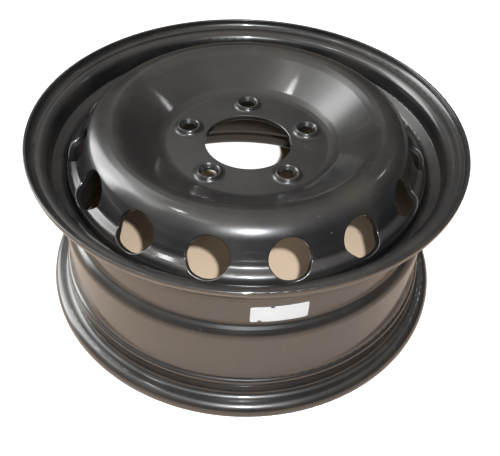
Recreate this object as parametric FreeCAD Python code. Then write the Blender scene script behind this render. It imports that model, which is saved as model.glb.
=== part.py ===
import FreeCAD, Part
import math
import os

V = FreeCAD.Vector
AXIS = V(0, 0, 1)

# A pressed-steel van wheel lying face up on its inner flange. The wheel's axis is Z and the floor is Z = 0.
# All sizes are in mm, and heights are measured from the floor.

# Rim, on the tyre side
INCH = 25.4
RIM_WIDTH = 6.5 * INCH  # between the two flange faces
BEAD_SEAT_R = 202.8  # at the flange faces, for a 16 inch tyre
BEAD_SEAT_TAPER = 5.0  # degrees
BEAD_SEAT_WIDTH = 14.5  # from the flange face to the foot of the safety hump
RIM_T = 3.0
SHEET_EDGE_R = 1.0  # rounding of the flange edges
FLANGE_ROOT_R = 6.5
FLANGE_FLAT = 1.844  # flat of the flange face between its root and its curl
FLANGE_CURL_R = 9.5
FLANGE_EDGE_FLAT = 3.0  # straight edge beyond the curl

HUMP_RISE = 1.27  # crest of the safety hump above the end of the bead seat
HUMP_RUN = 6.0  # from the hump's foot to its crest
HUMP_BEND_R = 4.5
HUMP_FOOT_BEND_R = 6.0

WELL_DEPTH = 15.8  # drop well below the bead seat
WELL_WALL_DROP = 7.1  # from the outer hump's crest down to the well's corner
WELL_WIDTH = 43.5
WELL_BEND_R = 8.0
WELL_FOOT_BEND_R = 6.0
LEDGE_RISE = 8.5  # the wide step below the well stands this far out from it
LEDGE_SLOPE = 8.0  # height of the slope between well and step
LEDGE_FLARE = 2.5  # the step widens towards the inner hump
LEDGE_FOOT = 3.5  # from the inner hump's crest up to the step's end
LEDGE_BEND_R = 15.0
LEDGE_FOOT_BEND_R = 5.0

VALVE_HOLE_D = 11.3
VALVE_AZIMUTH = 90.0  # degrees, in line with a vent

# Disc, on the outer side
OFFSET = 68.0  # hub mounting face beyond the rim's middle plane
DISC_T = 5.5
BORE_D = 89.1
BORE_CHAMFER = 0.6
PAD_LAND = 9.4  # pad beyond the bolt seats
PAD_BEND_R = 20.0
CROWN_INSET = 44.6  # crown's crest inside the skirt
CROWN_PROUD = 9.8  # crest beyond the outer flange edge
CROWN_BEND_R = 25.0
FLANK_ANGLE = 60.0  # degrees, falling from the crown
FLARE_ANGLE = 22.0  # degrees, where the flank flares out to the skirt
FLARE_RUN = 10.9  # radial run of the flare
FLARE_BEND_R = 6.0
SKIRT_BEND_R = 9.0
SKIRT_ENGAGE = 26.0  # skirt's edge below the well's upper corner

# Bolt seats, pressed up out of the pad
BOLT_COUNT = 5
BOLT_CIRCLE_D = 130.0
BOLT_AZIMUTH = 90.0  # degrees, first bolt hole
BOLT_HOLE_D = 15.0
SEAT_RISE = 4.5  # lip above the pad
SEAT_CONE_D = 18.8  # wide end of the conical seat
SEAT_CONE_ANGLE = 60.0  # degrees, included
SEAT_LIP_W = 2.5
SEAT_LIP_R = 0.8  # rounding of the lip's outer edge
SEAT_LIP_EASE = 1.0  # chamfer of the lip's inner edge
SEAT_FLANK_RUN = 2.6
SEAT_FLANK_BEND_R = 3.5  # blend of the seat's flank into the pad
SEAT_BACK_LAND = 1.25  # flat round the bolt hole, in the hollow behind the seat
SEAT_BACK_RUN = 4.5  # slope of that hollow
SEAT_BACK_DEPTH = 3.5

# Vents, punched square to the flank
VENT_COUNT = 15
VENT_D = 38.0
VENT_INSET = 1.0  # centre of the hole's mouth inside the start of the flare
VENT_DROP = 26.9  # centre below the crown's crest
VENT_TILT = 37.5  # degrees, hole axis above horizontal
VENT_EDGE_R = 1.2

# Welds between the skirt's edge and the well
WELD_COUNT = 8
WELD_SPAN = 28.0  # degrees
WELD_SKIRT_LEG = 4.0
WELD_RIM_LEG = 5.0
WELD_CROWN = 0.5  # bulge of the bead's face
WELD_END_R = 1.5

# Paper label on the tyre side of the well
LABEL_WIDTH = 53.0
LABEL_HEIGHT = 20.6
LABEL_GAP = 3.5  # above the well's lower corner
LABEL_T = 0.2
LABEL_GLUE_T = 0.05  # film of glue between label and well
LABEL_AZIMUTH = -81.1  # degrees, middle of the label
LABEL_CORNER_R = 2.0
LABEL_NICK_D = 4.4  # torn nicks in the long edges
LABEL_NICK_TOP_SHIFT = -6.8  # along the edge, from the middle
LABEL_NICK_BOTTOM_SHIFT = -18.0

ROOT_TURN = 90 - BEAD_SEAT_TAPER
ROOT_REACH = FLANGE_ROOT_R * math.tan(math.radians(ROOT_TURN / 2))
FLANGE_R = BEAD_SEAT_R + ROOT_REACH + FLANGE_FLAT + FLANGE_CURL_R
INNER_FACE = FLANGE_CURL_R + FLANGE_EDGE_FLAT
OUTER_FACE = INNER_FACE + RIM_WIDTH
WHEEL_WIDTH = OUTER_FACE + INNER_FACE
HUMP_FOOT_R = BEAD_SEAT_R - BEAD_SEAT_WIDTH * math.tan(math.radians(BEAD_SEAT_TAPER))
HUMP_R = HUMP_FOOT_R + HUMP_RISE
OUTER_HUMP = OUTER_FACE - BEAD_SEAT_WIDTH - HUMP_RUN
INNER_HUMP = INNER_FACE + BEAD_SEAT_WIDTH + HUMP_RUN
WELL_R = BEAD_SEAT_R - WELL_DEPTH
WELL_TOP = OUTER_HUMP - WELL_WALL_DROP
WELL_BOTTOM = WELL_TOP - WELL_WIDTH
LEDGE_TOP_R = WELL_R + LEDGE_RISE

MOUNT_FACE = WHEEL_WIDTH / 2 + OFFSET
PAD_TOP = MOUNT_FACE + DISC_T
CREST = WHEEL_WIDTH + CROWN_PROUD
SKIRT_R = WELL_R - RIM_T
SKIRT_BOTTOM = WELL_TOP - SKIRT_ENGAGE
FLARE_R = SKIRT_R - FLARE_RUN
CROWN_R = SKIRT_R - CROWN_INSET
VENT_R = FLARE_R - VENT_INSET
VENT_HEIGHT = CREST - VENT_DROP
BOLT_CIRCLE_R = BOLT_CIRCLE_D / 2
SEAT_LIP_D = SEAT_CONE_D + 2 * SEAT_LIP_W
SEAT_BASE_D = SEAT_LIP_D + 2 * SEAT_FLANK_RUN
SEAT_BACK_TOP_D = BOLT_HOLE_D + 2 * SEAT_BACK_LAND
SEAT_BACK_D = SEAT_BACK_TOP_D + 2 * SEAT_BACK_RUN
LABEL_BOTTOM = WELL_BOTTOM + LABEL_GAP
LABEL_TOP = LABEL_BOTTOM + LABEL_HEIGHT
CUT_REACH = 30.0  # how far a cutting tool runs past the sheet on each side
EASY = 1e-4  # how close a length must be to count as equal


def heading(a, b):
    """Unit direction from point a to point b of a section."""
    dr = b[0] - a[0]
    dz = b[1] - a[1]
    length = math.hypot(dr, dz)
    return dr / length, dz / length


def crossing(p, angle_p, q, angle_q):
    """Where the line through p at angle_p (degrees) meets the line through q at angle_q."""
    pr = math.cos(math.radians(angle_p))
    pz = math.sin(math.radians(angle_p))
    qr = math.cos(math.radians(angle_q))
    qz = math.sin(math.radians(angle_q))
    along = ((q[0] - p[0]) * qz - (q[1] - p[1]) * qr) / (pr * qz - pz * qr)
    return p[0] + along * pr, p[1] + along * pz


def rounded_wire(corners):
    """Closed wire in the XZ plane through (radius, height, rounding) corners."""
    count = len(corners)
    blends = []
    for i, (r, z, rounding) in enumerate(corners):
        before = heading(corners[i], corners[i - 1])
        after = heading(corners[i], corners[(i + 1) % count])
        corner = V(r, 0, z)
        if rounding == 0:
            blends.append((corner, corner, corner))
            continue
        half = math.acos(before[0] * after[0] + before[1] * after[1]) / 2
        reach = rounding / math.tan(half)
        to_centre = V(before[0] + after[0], 0, before[1] + after[1]).normalize()
        start = corner + V(before[0], 0, before[1]) * reach
        end = corner + V(after[0], 0, after[1]) * reach
        middle = corner + to_centre * (rounding / math.sin(half) - rounding)
        blends.append((start, middle, end))
    edges = []
    for i, (start, middle, end) in enumerate(blends):
        if start != end:
            edges.append(Part.Arc(start, middle, end).toShape())
        edges.append(Part.LineSegment(end, blends[(i + 1) % count][0]).toShape())
    return Part.Wire(edges)


def sheet_section(path, thickness, first_edge_r, last_edge_r):
    """Section of a sheet lying to the right of a path of (radius, height, bend radius) points."""
    back = []
    last = len(path) - 1
    for i, (r, z, bend) in enumerate(path):
        came = heading(path[i - 1], path[i]) if i else heading(path[0], path[1])
        goes = heading(path[i], path[i + 1]) if i < last else came
        turn = came[0] * goes[1] - came[1] * goes[0]
        side = (came[1] + goes[1], -came[0] - goes[0])
        scale = thickness / (1 + came[0] * goes[0] + came[1] * goes[1])
        far_bend = bend + math.copysign(thickness, turn) if bend else 0
        back.append((r + side[0] * scale, z + side[1] * scale, far_bend))
    front = list(path)
    front[0] = (*path[0][:2], first_edge_r)
    back[0] = (*back[0][:2], first_edge_r)
    front[last] = (*path[last][:2], last_edge_r)
    back[last] = (*back[last][:2], last_edge_r)
    return front + back[::-1]


def turned(corners):
    """Solid of revolution about the wheel's axis."""
    return Part.Face(rounded_wire(corners)).revolve(V(0, 0, 0), AXIS, 360)


def turned_at(corners, radius, azimuth):
    """Solid of revolution about an upright axis standing at a radius and azimuth."""
    solid = turned(corners)
    solid.translate(V(radius, 0, 0))
    return spun(solid, azimuth)


def spun(shape, azimuth):
    """Copy of a shape turned about the wheel's axis by an azimuth in degrees."""
    copy = shape.copy()
    copy.rotate(V(0, 0, 0), AXIS, azimuth)
    return copy


def tilted_drill(diameter, radius, height, tilt, azimuth):
    """Round cutter through a wall, its axis leaning up from the radial direction by tilt degrees."""
    along = V(math.cos(math.radians(tilt)), 0, math.sin(math.radians(tilt)))
    start = V(radius, 0, height) - along * CUT_REACH
    return spun(Part.makeCylinder(diameter / 2, 2 * CUT_REACH, start, along), azimuth)


def build_rim():
    """The rolled rim band, from the outer flange edge down to the inner one."""
    hump = (HUMP_R, OUTER_HUMP, HUMP_BEND_R)
    well_corner = (WELL_R, WELL_TOP, WELL_BEND_R)
    path = [
        (FLANGE_R, WHEEL_WIDTH, 0),
        (FLANGE_R, OUTER_FACE, FLANGE_CURL_R),
        (BEAD_SEAT_R, OUTER_FACE, FLANGE_ROOT_R),
        (HUMP_FOOT_R, OUTER_FACE - BEAD_SEAT_WIDTH, HUMP_FOOT_BEND_R),
        hump,
        well_corner,
        (WELL_R, WELL_BOTTOM, WELL_FOOT_BEND_R),
        (LEDGE_TOP_R, WELL_BOTTOM - LEDGE_SLOPE, LEDGE_BEND_R),
        (LEDGE_TOP_R + LEDGE_FLARE, INNER_HUMP + LEDGE_FOOT, LEDGE_FOOT_BEND_R),
        (HUMP_R, INNER_HUMP, HUMP_BEND_R),
        (HUMP_FOOT_R, INNER_FACE + BEAD_SEAT_WIDTH, HUMP_FOOT_BEND_R),
        (BEAD_SEAT_R, INNER_FACE, FLANGE_ROOT_R),
        (FLANGE_R, INNER_FACE, FLANGE_CURL_R),
        (FLANGE_R, 0, 0),
    ]
    rim = turned(sheet_section(path, RIM_T, SHEET_EDGE_R, SHEET_EDGE_R))
    wall = heading(well_corner, hump)
    wall_tilt = math.degrees(math.atan2(wall[0], -wall[1]))
    wall_r = (hump[0] + well_corner[0]) / 2
    wall_z = (hump[1] + well_corner[1]) / 2
    return rim.cut(tilted_drill(VALVE_HOLE_D, wall_r, wall_z, wall_tilt, VALVE_AZIMUTH))


def disc_blank():
    """The drawn disc before any hole is made."""
    pad_corner = (BOLT_CIRCLE_R + SEAT_BASE_D / 2 + PAD_LAND, PAD_TOP)
    crown = (CROWN_R, CREST - CROWN_BEND_R)
    reach = math.hypot(crown[0] - pad_corner[0], crown[1] - pad_corner[1])
    lean = math.atan2(crown[1] - pad_corner[1], crown[0] - pad_corner[0])
    dish_angle = math.degrees(lean + math.asin(CROWN_BEND_R / reach))
    flank_start = (
        crown[0] + CROWN_BEND_R * math.sin(math.radians(FLANK_ANGLE)),
        crown[1] + CROWN_BEND_R * math.cos(math.radians(FLANK_ANGLE)),
    )
    crown_corner = crossing(pad_corner, dish_angle, flank_start, -FLANK_ANGLE)
    flare_corner = crossing(flank_start, -FLANK_ANGLE, (FLARE_R, 0), 90)
    skirt_corner = crossing(flare_corner, -FLARE_ANGLE, (SKIRT_R, 0), 90)
    path = [
        (0, PAD_TOP, 0),
        (*pad_corner, PAD_BEND_R),
        (*crown_corner, CROWN_BEND_R),
        (*flare_corner, FLARE_BEND_R),
        (*skirt_corner, SKIRT_BEND_R),
        (SKIRT_R, SKIRT_BOTTOM, 0),
    ]
    return turned(sheet_section(path, DISC_T, 0, 0))


def seat_cone(azimuth):
    """The raised cone of one bolt seat, still closed."""
    lip = PAD_TOP + SEAT_RISE
    middle = PAD_TOP - DISC_T / 2
    raised = [
        (0, middle, 0),
        (SEAT_BASE_D / 2, middle, 0),
        (SEAT_BASE_D / 2, PAD_TOP, 0),
        (SEAT_LIP_D / 2, lip, SEAT_LIP_R),
        (0, lip, 0),
    ]
    return turned_at(raised, BOLT_CIRCLE_R, azimuth)


def seat_hollow(azimuth):
    """Everything that is open in one bolt seat: its cone, its hole and the hollow behind it."""
    lip = PAD_TOP + SEAT_RISE
    cone_top = lip - SEAT_LIP_EASE
    cone_depth = (SEAT_CONE_D - BOLT_HOLE_D) / 2 / math.tan(math.radians(SEAT_CONE_ANGLE / 2))
    back_top = MOUNT_FACE + SEAT_BACK_DEPTH
    hollow = [
        (0, MOUNT_FACE, 0),
        (SEAT_BACK_D / 2, MOUNT_FACE, 0),
        (SEAT_BACK_TOP_D / 2, back_top, 0),
        (BOLT_HOLE_D / 2, back_top, 0),
        (BOLT_HOLE_D / 2, cone_top - cone_depth, 0),
        (SEAT_CONE_D / 2, cone_top, 0),
        (SEAT_CONE_D / 2 + SEAT_LIP_EASE, lip, 0),
        (0, lip, 0),
    ]
    return turned_at(hollow, BOLT_CIRCLE_R, azimuth)


def bore_tool():
    """Cutter for the centre bore with its eased edges."""
    bore_r = BORE_D / 2
    wide_r = bore_r + BORE_CHAMFER
    return turned([
        (0, MOUNT_FACE, 0),
        (wide_r, MOUNT_FACE, 0),
        (bore_r, MOUNT_FACE + BORE_CHAMFER, 0),
        (bore_r, PAD_TOP - BORE_CHAMFER, 0),
        (wide_r, PAD_TOP, 0),
        (wide_r, PAD_TOP + SEAT_RISE, 0),
        (0, PAD_TOP + SEAT_RISE, 0),
    ])


def seat_feet(solid):
    """Edges where the bolt seats rise from the pad."""
    found = []
    for edge in solid.Edges:
        curve = edge.Curve
        if curve.TypeId != "Part::GeomCircle":
            continue
        if abs(curve.Radius - SEAT_BASE_D / 2) < EASY and abs(curve.Center.z - PAD_TOP) < EASY:
            found.append(edge)
    return found


def edges_meet(one, other):
    """Whether two edges share an end."""
    return any((a.Point - b.Point).Length < EASY for a in one.Vertexes for b in other.Vertexes)


def vent_mouth(solid, azimuth):
    """Edges of one vent on the disc's outer side: the loop on the vent's wall that lies furthest out."""
    along = V(math.cos(math.radians(VENT_TILT)), 0, math.sin(math.radians(VENT_TILT)))
    centre = V(VENT_R, 0, VENT_HEIGHT)
    back = FreeCAD.Rotation(AXIS, -azimuth)

    def depth(point):
        return (back.multVec(point) - centre).dot(along)

    def on_wall(point):
        reach = back.multVec(point) - centre
        return abs((reach - along * reach.dot(along)).Length - VENT_D / 2) < EASY * VENT_D

    loops = []
    for edge in solid.Edges:
        if edge.Curve.TypeId == "Part::GeomLine" or not all(on_wall(p) for p in edge.discretize(5)):
            continue
        joined = [loop for loop in loops if any(edges_meet(edge, other) for other in loop)]
        loops = [loop for loop in loops if loop not in joined]
        loops.append(sum(joined, [edge]))
    return max(loops, key=lambda loop: sum(depth(edge.CenterOfMass) for edge in loop) / len(loop))


def build_disc():
    """The finished disc with bolt seats, bore, vents and eased edges."""
    disc = disc_blank()
    bolts = [BOLT_AZIMUTH + i * 360 / BOLT_COUNT for i in range(BOLT_COUNT)]
    vents = [BOLT_AZIMUTH + i * 360 / VENT_COUNT for i in range(VENT_COUNT)]
    disc = disc.fuse([seat_cone(azimuth) for azimuth in bolts]).removeSplitter()
    disc = disc.makeFillet(SEAT_FLANK_BEND_R, seat_feet(disc))
    disc = disc.cut([seat_hollow(azimuth) for azimuth in bolts] + [bore_tool()])
    disc = disc.cut([tilted_drill(VENT_D, VENT_R, VENT_HEIGHT, VENT_TILT, azimuth) for azimuth in vents])
    for azimuth in vents:
        disc = disc.makeFillet(VENT_EDGE_R, vent_mouth(disc, azimuth))
    return disc


def build_welds():
    """Separate stitch welds, each filling the corner under the skirt's edge."""
    top = V(SKIRT_R, 0, SKIRT_BOTTOM)
    inner = V(SKIRT_R - WELD_SKIRT_LEG, 0, SKIRT_BOTTOM)
    low = V(SKIRT_R, 0, SKIRT_BOTTOM - WELD_RIM_LEG)
    slope = (low - inner).normalize()
    bulge = (inner + low) * 0.5 + V(slope.z, 0, -slope.x) * WELD_CROWN
    face = Part.Arc(inner, bulge, low).toShape()
    sides = [Part.LineSegment(low, top).toShape(), Part.LineSegment(top, inner).toShape()]
    section = Part.Face(Part.Wire([face] + sides))
    bead = section.revolve(V(0, 0, 0), AXIS, WELD_SPAN)
    ends = [e for e in bead.Edges if e.Curve.TypeId == "Part::GeomCircle" and e.Curve.Radius < SKIRT_R / 2]
    bead = bead.makeFillet(WELD_END_R, ends)
    beads = [spun(bead, i * 360 / WELD_COUNT) for i in range(WELD_COUNT)]
    return Part.makeCompound(beads)


def build_label():
    """The paper label wrapped on the well, with rounded corners and two torn nicks."""
    back_r = WELL_R + LABEL_GLUE_T
    skin = Part.makeCylinder(back_r + LABEL_T, WHEEL_WIDTH).cut(Part.makeCylinder(back_r, WHEEL_WIDTH))
    half = LABEL_WIDTH / 2
    outline = rounded_wire([
        (-half, LABEL_BOTTOM, LABEL_CORNER_R),
        (half, LABEL_BOTTOM, LABEL_CORNER_R),
        (half, LABEL_TOP, LABEL_CORNER_R),
        (-half, LABEL_TOP, LABEL_CORNER_R),
    ])
    stamp = Part.Face(outline).extrude(V(0, -2 * WELL_R, 0))
    for shift, height in ((LABEL_NICK_TOP_SHIFT, LABEL_TOP), (LABEL_NICK_BOTTOM_SHIFT, LABEL_BOTTOM)):
        stamp = stamp.cut(Part.makeCylinder(LABEL_NICK_D / 2, 2 * WELL_R, V(shift, 0, height), V(0, -1, 0)))
    return spun(skin.common(stamp), LABEL_AZIMUTH + 90)


os.makedirs("parts", exist_ok=True)
for name, build in (
    ("rim", build_rim),
    ("disc", build_disc),
    ("weld_beads", build_welds),
    ("paper_label", build_label),
):
    build().exportStep(f"parts/{name}.step")
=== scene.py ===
"""Looks of a black pressed-steel van wheel that lies face up. Units are metres, in the wheel's frame."""

import math

import bpy
from mathutils import Matrix, Vector


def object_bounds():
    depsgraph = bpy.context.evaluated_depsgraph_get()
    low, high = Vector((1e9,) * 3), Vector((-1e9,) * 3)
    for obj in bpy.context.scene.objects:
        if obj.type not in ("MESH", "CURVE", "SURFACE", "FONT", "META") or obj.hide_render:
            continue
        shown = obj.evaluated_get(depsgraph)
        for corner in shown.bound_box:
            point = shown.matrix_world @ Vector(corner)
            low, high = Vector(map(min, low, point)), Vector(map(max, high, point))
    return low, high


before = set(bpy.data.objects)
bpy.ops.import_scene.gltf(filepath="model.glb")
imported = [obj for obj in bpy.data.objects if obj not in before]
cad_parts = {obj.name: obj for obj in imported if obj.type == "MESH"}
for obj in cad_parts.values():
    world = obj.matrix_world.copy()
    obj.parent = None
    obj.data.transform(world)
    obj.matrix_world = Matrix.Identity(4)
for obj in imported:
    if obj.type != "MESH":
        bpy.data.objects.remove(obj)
cad_low, cad_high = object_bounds()
MM = 0.001

# Camera, placed as the wheel is seen in the photograph
FOCAL_PX = 654.8  # focal length in pixels of the image
IMAGE_WIDTH_PX = 500
SENSOR_MM = 36.0
CAMERA_REACH = 541.8 * MM  # distance from the wheel's axis
CAMERA_HEIGHT = 581.8 * MM  # above the floor
CAMERA_AZIMUTH = -91.92  # degrees about the wheel's axis
CAMERA_PITCH = 44.89  # degrees below the horizon
CAMERA_YAW = 0.73  # degrees to the right of the axis
CAMERA_ROLL = 3.11  # degrees
CLIP_START = 0.01

# Places on the wheel that the finish and the floor depend on
CROWN_R = 139.4 * MM
FLANGE_R = 220.1 * MM
BORE_R = 44.55 * MM
PAD_TOP = 168.55 * MM
TYRE_SIDE_R = 186.0 * MM  # the rim's outer skin lies beyond this
TYRE_SIDE_BLEND = 0.5 * MM
FACING_OUT = (0.2, 0.8)  # how far a face turns outwards to count as tyre side

# Coat: two blacks in large clouds, with noise scales in cells per metre
COAT = (0.009, 0.009, 0.010, 1)
COAT_WARM = (0.016, 0.0145, 0.013, 1)
CLOUD_SCALE = 22.0
CLOUD_BLEND = (0.3, 0.7)
BASE_ROUGHNESS = (0.30, 0.36)
PAINT_IOR = 1.6
CLEAR_WEIGHT = 0.7
CLEAR_ROUGHNESS = 0.08

# Dust: a thin film, and streaks round the tyre side
DUST = (0.20, 0.17, 0.145, 1)
DUST_ROUGHNESS = 0.35  # added where the dust is full
FILM_WEIGHT = 0.02
CLOUD_DUST = (0.35, 0.75)
GRIME_SCALE = 140.0
GRIME_DUST = (0.55, 0.80)
STREAK_SCALE = (30.0, 30.0, 420.0)
STREAK_RANGE = (0.2, 0.8)
STREAK_DUST = (0.004, 0.02)

# Specks in the paint
SPECK_SCALE = 170.0
SPECK_CHOICE = (0.80, 1.0)  # part of the cells that get a speck
SPECK_SIZE = 0.14  # of a cell
SPECK_WEIGHT = 0.35

# Rub marks round the crown
SCUFFS_ROUND = 16.0  # per radian
SCUFFS_ACROSS = 700.0  # per metre of radius
SCUFF_BAND_R = CROWN_R - 6.0 * MM
SCUFF_BAND_HALF = 10.0 * MM
SCUFF_HEIGHTS = (193.0 * MM, 198.0 * MM)  # from none to full
SCUFF_RANGE = (0.45, 0.75)
SCUFF_WEIGHT = 0.14
WORN_SCALE = 16.0
WORN_RANGE = (0.40, 0.62)

# Relief too fine to model: orange peel, waviness of the drawn sheet, weld ripples
PEEL_SCALE = 620.0
PEEL_STRENGTH = 0.05
PEEL_HEIGHT = 0.4 * MM
WAVE_SCALE = 38.0
WAVE_STRENGTH = 0.10
WAVE_HEIGHT = 1.2 * MM
WELD_RIPPLES = 420  # round the whole wheel
RIPPLE_STRENGTH = 0.8
RIPPLE_HEIGHT = 0.35 * MM
WANDER_SCALE = 180.0
RIPPLE_WANDER = 5.0

# Label paper, with one row of faint bars
PAPER = (0.84, 0.85, 0.85, 1)
PAPER_GREY = (0.58, 0.58, 0.58, 1)
PAPER_ROUGHNESS = 0.75
BARS_ROUND = 260.0  # per radian
BAR_RANGE = (0.50, 0.56)
BAR_WEIGHT = 0.45
ROW_HEIGHT = 127.0 * MM
ROW_HALF = 4.0 * MM
SOIL_SCALE = 90.0
SOIL_RANGE = (0.5, 0.8)
SOIL_WEIGHT = 0.08
GRAIN_SCALE = 900.0
GRAIN_STRENGTH = 0.25
GRAIN_HEIGHT = 0.05 * MM

# Floor
FLOOR_SIZE = 8.0
FLOOR_WHITE = (0.86, 0.86, 0.86, 1)  # around the wheel, where it is seen, and in the painted pool of light that the flash casts through the bore
FLOOR_BARE = (0.92, 0.70, 0.50, 1)  # inside the wheel
FLOOR_MIRRORED = (0.72, 0.55, 0.42, 1)  # around the wheel, in reflections
FLOOR_DARK = (0.05, 0.045, 0.04, 1)  # further out, for the light it throws back
BARE_R = 330 * MM
BARE_BLEND = 40 * MM
FLOOR_LIFT = 0.78  # white glow added where the floor is seen, which under the bore is a painted pool of light
GLOSS_LIFT = 0.16  # and where it is reflected
LIFT_BLEND = 4 * MM

# Lights, with places as azimuth and height above the horizon in degrees
FLASH_RIGHT = 36 * MM  # from the camera
FLASH_UP = 32 * MM
FLASH_SIZE = 12 * MM
FLASH_WATTS = 5.4
FLASH_TINT = (0.93, 0.96, 1.0)
LAMP_REACH = 1.5
LAMPS = (  # name, azimuth, height, width, length, radiance
    ("ceiling_lamp", -171, 66.5, 0.14, 0.10, 20.0),
    ("right_lamp", 34, 42, 0.06, 0.11, 9.0),
)

# Surroundings: the room's level by height, and soft fields of light in it
ROOM_LOW = 0.08  # radiance at the horizon
ROOM_RISE = 0.72  # added towards the zenith
ROOM_POWER = 3.0
ROOM_SHADE = 0.4  # share of the room's light that is kept off matt surfaces
ROOM_TINT = (1.0, 0.92, 0.84, 1)
FIELD_TINT = (0.98, 1.0, 0.99, 1)
BACKDROP_WHITE = (1, 1, 1, 1)
FIELDS = (  # azimuth, height, half width, half height, soft edge, radiance
    (157, 20, 18, 27, 6, 4.8),
    (166, 20, 7, 14, 6, 3.0),
    (152, 50, 42, 8, 7, 2.0),
    (215, 65, 18, 5, 4, 1.6),
    (205, 30, 36, 25, 20, 0.28),
    (94, 40, 9, 5, 5, 0.35),
)


class Nodes:
    """Small helper that adds shader nodes and links them by socket."""

    def __init__(self, owner):
        owner.use_nodes = True
        self.tree = owner.node_tree
        self.tree.nodes.clear()

    def add(self, kind, inputs=None, **settings):
        node = self.tree.nodes.new(kind)
        for key, value in settings.items():
            setattr(node, key, value)
        for key, value in (inputs or {}).items():
            self.feed(node.inputs[key], value)
        return node

    def feed(self, socket, value):
        """Link a socket to another one, or set its value."""
        if isinstance(value, bpy.types.NodeSocket):
            self.tree.links.new(value, socket)
        else:
            socket.default_value = value

    def math(self, operation, a, b=0.0, clamp=False):
        return self.add("ShaderNodeMath", {0: a, 1: b}, operation=operation, use_clamp=clamp).outputs[0]

    def times(self, a, b):
        return self.math("MULTIPLY", a, b)

    def vector(self, operation, a, b=None):
        """Vector operation that gives a number."""
        inputs = {0: a} if b is None else {0: a, 1: b}
        return self.add("ShaderNodeVectorMath", inputs, operation=operation).outputs["Value"]

    def ramp(self, value, low, high, to_low=0.0, to_high=1.0):
        """Smooth step of a value between two levels."""
        node = self.add(
            "ShaderNodeMapRange",
            {"Value": value, "From Min": low, "From Max": high, "To Min": to_low, "To Max": to_high},
            interpolation_type="SMOOTHSTEP",
        )
        return node.outputs["Result"]

    def band(self, value, centre, half_width):
        """1 at the centre of a band, falling smoothly to 0 at its edges."""
        away = self.math("ABSOLUTE", self.math("SUBTRACT", value, centre))
        return self.ramp(away, 0.0, half_width, 1.0, 0.0)

    def noise(self, where, scale, detail=4.0, roughness=0.55):
        node = self.add(
            "ShaderNodeTexNoise",
            {"Vector": where, "Scale": scale, "Detail": detail, "Roughness": roughness},
        )
        return node.outputs["Fac"]

    def mix(self, factor, a, b):
        """Blend of two colours, by the node's colour sockets."""
        node = self.add("ShaderNodeMix", {"Factor": factor}, data_type="RGBA")
        self.feed(node.inputs[6], a)
        self.feed(node.inputs[7], b)
        return node.outputs[2]

    def bump(self, height, strength, distance, below=None):
        inputs = {"Height": height, "Strength": strength, "Distance": distance}
        if below is not None:
            inputs["Normal"] = below
        return self.add("ShaderNodeBump", inputs).outputs["Normal"]

    def straight_path(self, path):
        """1 for rays that come from the camera, also through glass."""
        return self.math("MAXIMUM", path["Is Camera Ray"], path["Is Transmission Ray"])

    def output(self, shader):
        self.add("ShaderNodeOutputMaterial", {"Surface": shader})


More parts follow.
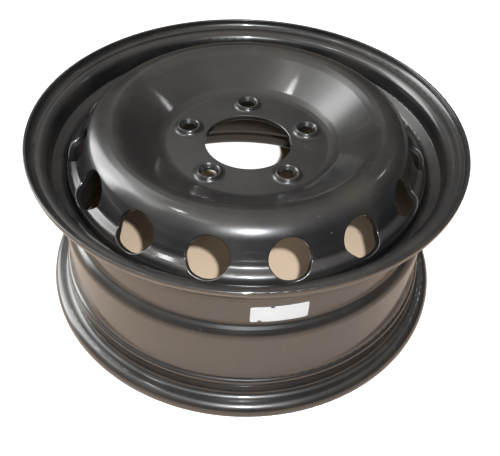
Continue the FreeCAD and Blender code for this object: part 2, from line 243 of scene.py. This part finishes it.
def black_coat(name, ripples=0):
    """Dipped black paint with orange peel, dust and rub marks, over a weld's ripples if it has any."""
    material = bpy.data.materials.new(name)
    n = Nodes(material)
    place = n.add("ShaderNodeTexCoord").outputs["Object"]
    axes = n.add("ShaderNodeSeparateXYZ", {"Vector": place}).outputs
    flat = n.add("ShaderNodeCombineXYZ", {"X": axes["X"], "Y": axes["Y"]}).outputs["Vector"]
    radius = n.vector("LENGTH", flat)
    around = n.math("ARCTAN2", axes["Y"], axes["X"])
    outward = n.add("ShaderNodeVectorMath", {0: flat}, operation="NORMALIZE").outputs["Vector"]
    faces_out = n.vector("DOT_PRODUCT", n.add("ShaderNodeNewGeometry").outputs["Normal"], outward)
    past_well = n.ramp(radius, TYRE_SIDE_R - TYRE_SIDE_BLEND, TYRE_SIDE_R + TYRE_SIDE_BLEND)
    tyre_side = n.times(n.ramp(faces_out, *FACING_OUT), past_well)

    # Thin film of dust
    clouds = n.noise(place, CLOUD_SCALE, detail=5.0)
    grime = n.noise(place, GRIME_SCALE, detail=6.0, roughness=0.65)
    streak_place = n.add("ShaderNodeMapping", {"Vector": place, "Scale": STREAK_SCALE}).outputs["Vector"]
    streaks = n.ramp(n.noise(streak_place, 1.0, detail=3.0), *STREAK_RANGE, *STREAK_DUST)
    film = n.times(n.ramp(clouds, *CLOUD_DUST), FILM_WEIGHT)
    film = n.math("ADD", film, n.times(n.ramp(grime, *GRIME_DUST), FILM_WEIGHT))
    film = n.math("ADD", film, n.times(tyre_side, streaks))

    # Specks in some of the cells
    cells = n.add("ShaderNodeTexVoronoi", {"Vector": place, "Scale": SPECK_SCALE}, distance="EUCLIDEAN")
    chosen = n.add("ShaderNodeSeparateColor", {"Color": cells.outputs["Color"]}).outputs["Red"]
    speck_size = n.ramp(chosen, *SPECK_CHOICE, 0.0, SPECK_SIZE)
    specks = n.math("LESS_THAN", cells.outputs["Distance"], speck_size)

    # Rub marks that run round the crown, where it is worn
    rub_round = n.times(around, SCUFFS_ROUND)
    rub_across = n.times(radius, SCUFFS_ACROSS)
    rub_place = n.add("ShaderNodeCombineXYZ", {"X": rub_round, "Y": rub_across}).outputs["Vector"]
    rubs = n.ramp(n.noise(rub_place, 1.0, detail=2.0), *SCUFF_RANGE)
    worn = n.ramp(n.noise(place, WORN_SCALE, detail=2.0), *WORN_RANGE)
    on_crown = n.times(n.band(radius, SCUFF_BAND_R, SCUFF_BAND_HALF), n.ramp(axes["Z"], *SCUFF_HEIGHTS))
    scuffs = n.times(n.times(rubs, worn), on_crown)

    # Colour and gloss
    dull = n.math("ADD", film, n.times(specks, SPECK_WEIGHT), clamp=True)
    dull = n.math("ADD", dull, n.times(scuffs, SCUFF_WEIGHT), clamp=True)
    colour = n.mix(n.ramp(clouds, *CLOUD_BLEND), COAT, COAT_WARM)
    colour = n.mix(dull, colour, DUST)
    roughness = n.ramp(clouds, *CLOUD_BLEND, *BASE_ROUGHNESS)
    roughness = n.math("ADD", roughness, n.times(dull, DUST_ROUGHNESS), clamp=True)

    # Relief
    peel = n.bump(n.noise(place, PEEL_SCALE, detail=2.0), PEEL_STRENGTH, PEEL_HEIGHT)
    relief = n.bump(n.noise(place, WAVE_SCALE, detail=2.0), WAVE_STRENGTH, WAVE_HEIGHT, peel)
    if ripples:
        wander = n.times(n.noise(place, WANDER_SCALE, detail=2.0), RIPPLE_WANDER)
        wave = n.math("SINE", n.math("ADD", n.times(around, ripples), wander))
        relief = n.bump(wave, RIPPLE_STRENGTH, RIPPLE_HEIGHT, relief)

    shader = n.add("ShaderNodeBsdfPrincipled", {
        "Base Color": colour,
        "Roughness": roughness,
        "Normal": relief,
        "IOR": PAINT_IOR,
        "Coat Weight": CLEAR_WEIGHT,
        "Coat IOR": PAINT_IOR,
        "Coat Roughness": CLEAR_ROUGHNESS,
        "Coat Normal": peel,
    })
    n.output(shader.outputs["BSDF"])
    return material


def label_paper():
    """Plain white sticker with faint generic bars, soiled patches and paper grain."""
    material = bpy.data.materials.new("label_paper")
    n = Nodes(material)
    place = n.add("ShaderNodeTexCoord").outputs["Object"]
    axes = n.add("ShaderNodeSeparateXYZ", {"Vector": place}).outputs
    bar_round = n.times(n.math("ARCTAN2", axes["Y"], axes["X"]), BARS_ROUND)
    bar_place = n.add("ShaderNodeCombineXYZ", {"X": bar_round}).outputs["Vector"]
    bars = n.ramp(n.noise(bar_place, 1.0, detail=1.0), *BAR_RANGE)
    row = n.times(n.band(axes["Z"], ROW_HEIGHT, ROW_HALF), BAR_WEIGHT)
    soil = n.times(n.ramp(n.noise(place, SOIL_SCALE), *SOIL_RANGE), SOIL_WEIGHT)
    colour = n.mix(n.times(bars, row), PAPER, PAPER_GREY)
    colour = n.mix(soil, colour, DUST)
    shader = n.add("ShaderNodeBsdfPrincipled", {
        "Base Color": colour,
        "Roughness": PAPER_ROUGHNESS,
        "Normal": n.bump(n.noise(place, GRAIN_SCALE), GRAIN_STRENGTH, GRAIN_HEIGHT),
    })
    n.output(shader.outputs["BSDF"])
    return material


def floor_finish():
    """Floor that looks white around the wheel, and also where the flash lights it through the bore, which
    is a painted pool of light; it is bare elsewhere inside the wheel and in reflections.
    """
    material = bpy.data.materials.new("floor_finish")
    n = Nodes(material)
    place = n.add("ShaderNodeTexCoord").outputs["Object"]
    radius = n.vector("LENGTH", place)
    # Painted pool of light: where the flash lights the floor through the bore, the floor is painted white
    # with a glow, as the backdrop is around the wheel
    pool_centre, pool_r = lit_through_bore()
    painted_pool = n.ramp(n.vector("DISTANCE", place, pool_centre), pool_r - LIFT_BLEND, pool_r, 1.0, 0.0)
    white = n.math("MAXIMUM", painted_pool, n.ramp(radius, FLANGE_R - LIFT_BLEND, FLANGE_R))
    near = n.ramp(radius, BARE_R - BARE_BLEND, BARE_R, 1.0, 0.0)

    path = n.add("ShaderNodeLightPath").outputs
    straight = n.straight_path(path)
    colour = n.mix(near, FLOOR_DARK, FLOOR_BARE)
    colour = n.mix(n.times(white, path["Is Glossy Ray"]), colour, FLOOR_MIRRORED)
    colour = n.mix(n.times(white, straight), colour, FLOOR_WHITE)
    diffuse = n.add("ShaderNodeBsdfDiffuse", {"Color": colour}).outputs["BSDF"]

    # The glow whitens the backdrop around the wheel and paints light into the pool under the bore
    mirrored = n.times(n.times(path["Is Glossy Ray"], near), GLOSS_LIFT)
    lift = n.times(n.math("ADD", n.times(straight, FLOOR_LIFT), mirrored), white)
    glow = n.add("ShaderNodeEmission", {"Strength": lift}).outputs["Emission"]
    n.output(n.add("ShaderNodeAddShader", {0: diffuse, 1: glow}).outputs["Shader"])
    return material


def dress_nodes():
    """Give every CAD node its finish."""
    coat = black_coat("black_coat")
    finishes = {"weld_beads": black_coat("weld_coat", WELD_RIPPLES), "paper_label": label_paper()}
    for name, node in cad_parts.items():
        node.data.materials.clear()
        node.data.materials.append(finishes.get(name, coat))


def add_floor():
    half = FLOOR_SIZE / 2
    corners = [(-half, -half, 0), (half, -half, 0), (half, half, 0), (-half, half, 0)]
    mesh = bpy.data.meshes.new("floor")
    mesh.from_pydata(corners, [], [(0, 1, 2, 3)])
    mesh.materials.append(floor_finish())
    floor = bpy.data.objects.new("floor", mesh)
    bpy.context.scene.collection.objects.link(floor)


def area_light(name, place, target, width, length, watts, colour=(1, 1, 1)):
    """Rectangular soft light aimed at a point."""
    data = bpy.data.lights.new(name, "AREA")
    data.shape = "RECTANGLE"
    data.size = width
    data.size_y = length
    data.energy = watts
    data.color = colour
    lamp = bpy.data.objects.new(name, data)
    bpy.context.scene.collection.objects.link(lamp)
    lamp.location = place
    lamp.rotation_euler = (target - place).to_track_quat("-Z", "Y").to_euler()


def camera_basis():
    """Camera position and its right, up and forward directions, turned from the -Y side to its azimuth."""
    yaw = math.radians(CAMERA_YAW)
    pitch = math.radians(CAMERA_PITCH)
    roll = math.radians(CAMERA_ROLL)
    ahead = Vector((math.sin(yaw), math.cos(yaw), 0))
    forward = math.cos(pitch) * ahead - math.sin(pitch) * Vector((0, 0, 1))
    level = Vector((math.cos(yaw), -math.sin(yaw), 0))
    upright = level.cross(forward)
    right = math.cos(roll) * level + math.sin(roll) * upright
    up = -math.sin(roll) * level + math.cos(roll) * upright
    turn = Matrix.Rotation(math.radians(CAMERA_AZIMUTH + 90), 3, "Z")
    place = turn @ Vector((0, -CAMERA_REACH, CAMERA_HEIGHT))
    return place, turn @ right, turn @ up, turn @ forward


def add_camera():
    place, right, up, forward = camera_basis()
    data = bpy.data.cameras.new("camera")
    data.sensor_width = SENSOR_MM
    data.lens = FOCAL_PX * SENSOR_MM / IMAGE_WIDTH_PX
    data.clip_start = CLIP_START
    camera = bpy.data.objects.new("camera", data)
    bpy.context.scene.collection.objects.link(camera)
    rotation = Matrix((right, up, -forward)).transposed().to_4x4()
    camera.matrix_world = Matrix.Translation(place) @ rotation
    bpy.context.scene.camera = camera


def flash_place():
    """Position of the flash beside the camera."""
    place, right, up, _ = camera_basis()
    return place + right * FLASH_RIGHT + up * FLASH_UP


def lit_through_bore():
    """Middle and radius of the round pool of floor that the flash lights through the bore, where the floor
    is painted with light.
    """
    flash = flash_place()
    spread = flash.z / (flash.z - PAD_TOP)
    centre = flash + (Vector((0, 0, PAD_TOP)) - flash) * spread
    return centre, BORE_R * spread


def add_lights():
    """Flash beside the camera, and small lamps of a given radiance around the wheel."""
    middle = Vector((0, 0, (cad_low[2] + cad_high[2]) / 2))
    area_light("flash", flash_place(), middle, FLASH_SIZE, FLASH_SIZE, FLASH_WATTS, FLASH_TINT)
    for name, azimuth, rise, width, length, radiance in LAMPS:
        around = math.radians(azimuth)
        above = math.radians(rise)
        level = math.cos(above)
        direction = Vector((level * math.cos(around), level * math.sin(around), math.sin(above)))
        place = middle + LAMP_REACH * direction
        area_light(name, place, middle, width, length, radiance * math.pi * width * length)


def soft_field(n, direction, height, field):
    """Radiance of one soft-edged field of light, seen in a direction."""
    *degrees, radiance = field
    azimuth, rise, half_width, half_height, soft = map(math.radians, degrees)
    along = n.vector("DOT_PRODUCT", direction, (math.cos(azimuth), math.sin(azimuth), 0))
    across = n.vector("DOT_PRODUCT", direction, (-math.sin(azimuth), math.cos(azimuth), 0))
    off_side = n.math("ABSOLUTE", n.math("ARCTAN2", across, along))
    off_height = n.math("ABSOLUTE", n.math("SUBTRACT", height, rise))
    in_width = n.ramp(off_side, half_width - soft, half_width + soft, 1.0, 0.0)
    in_height = n.ramp(off_height, half_height - soft, half_height + soft, 1.0, 0.0)
    return n.times(n.times(in_width, in_height), radiance)


def set_world():
    """Warm room, lighter overhead, with soft fields of light. The camera sees plain white instead."""
    world = bpy.data.worlds.new("room")
    bpy.context.scene.world = world
    n = Nodes(world)
    direction = n.add("ShaderNodeTexCoord").outputs["Generated"]
    upward = n.math("MAXIMUM", n.add("ShaderNodeSeparateXYZ", {"Vector": direction}).outputs["Z"], 0.0)
    height = n.math("ARCSINE", upward)
    path = n.add("ShaderNodeLightPath").outputs
    share = n.math("SUBTRACT", 1.0, n.times(path["Is Diffuse Ray"], ROOM_SHADE))

    rise = n.times(n.math("POWER", upward, ROOM_POWER), ROOM_RISE)
    level = n.times(n.math("ADD", rise, ROOM_LOW), share)
    room = n.add("ShaderNodeBackground", {"Color": ROOM_TINT, "Strength": level}).outputs["Background"]
    total = 0.0
    for field in FIELDS:
        total = n.math("ADD", soft_field(n, direction, height, field), total)
    total = n.times(total, share)
    fields = n.add("ShaderNodeBackground", {"Color": FIELD_TINT, "Strength": total}).outputs["Background"]
    light = n.add("ShaderNodeAddShader", {0: room, 1: fields}).outputs["Shader"]

    white = n.add("ShaderNodeBackground", {"Color": BACKDROP_WHITE}).outputs["Background"]
    seen = n.add("ShaderNodeMixShader", {0: n.straight_path(path), 1: light, 2: white}).outputs["Shader"]
    n.add("ShaderNodeOutputWorld", {"Surface": seen})


dress_nodes()
add_floor()
add_camera()
add_lights()
set_world()
bpy.context.scene.view_settings.view_transform = "Standard"
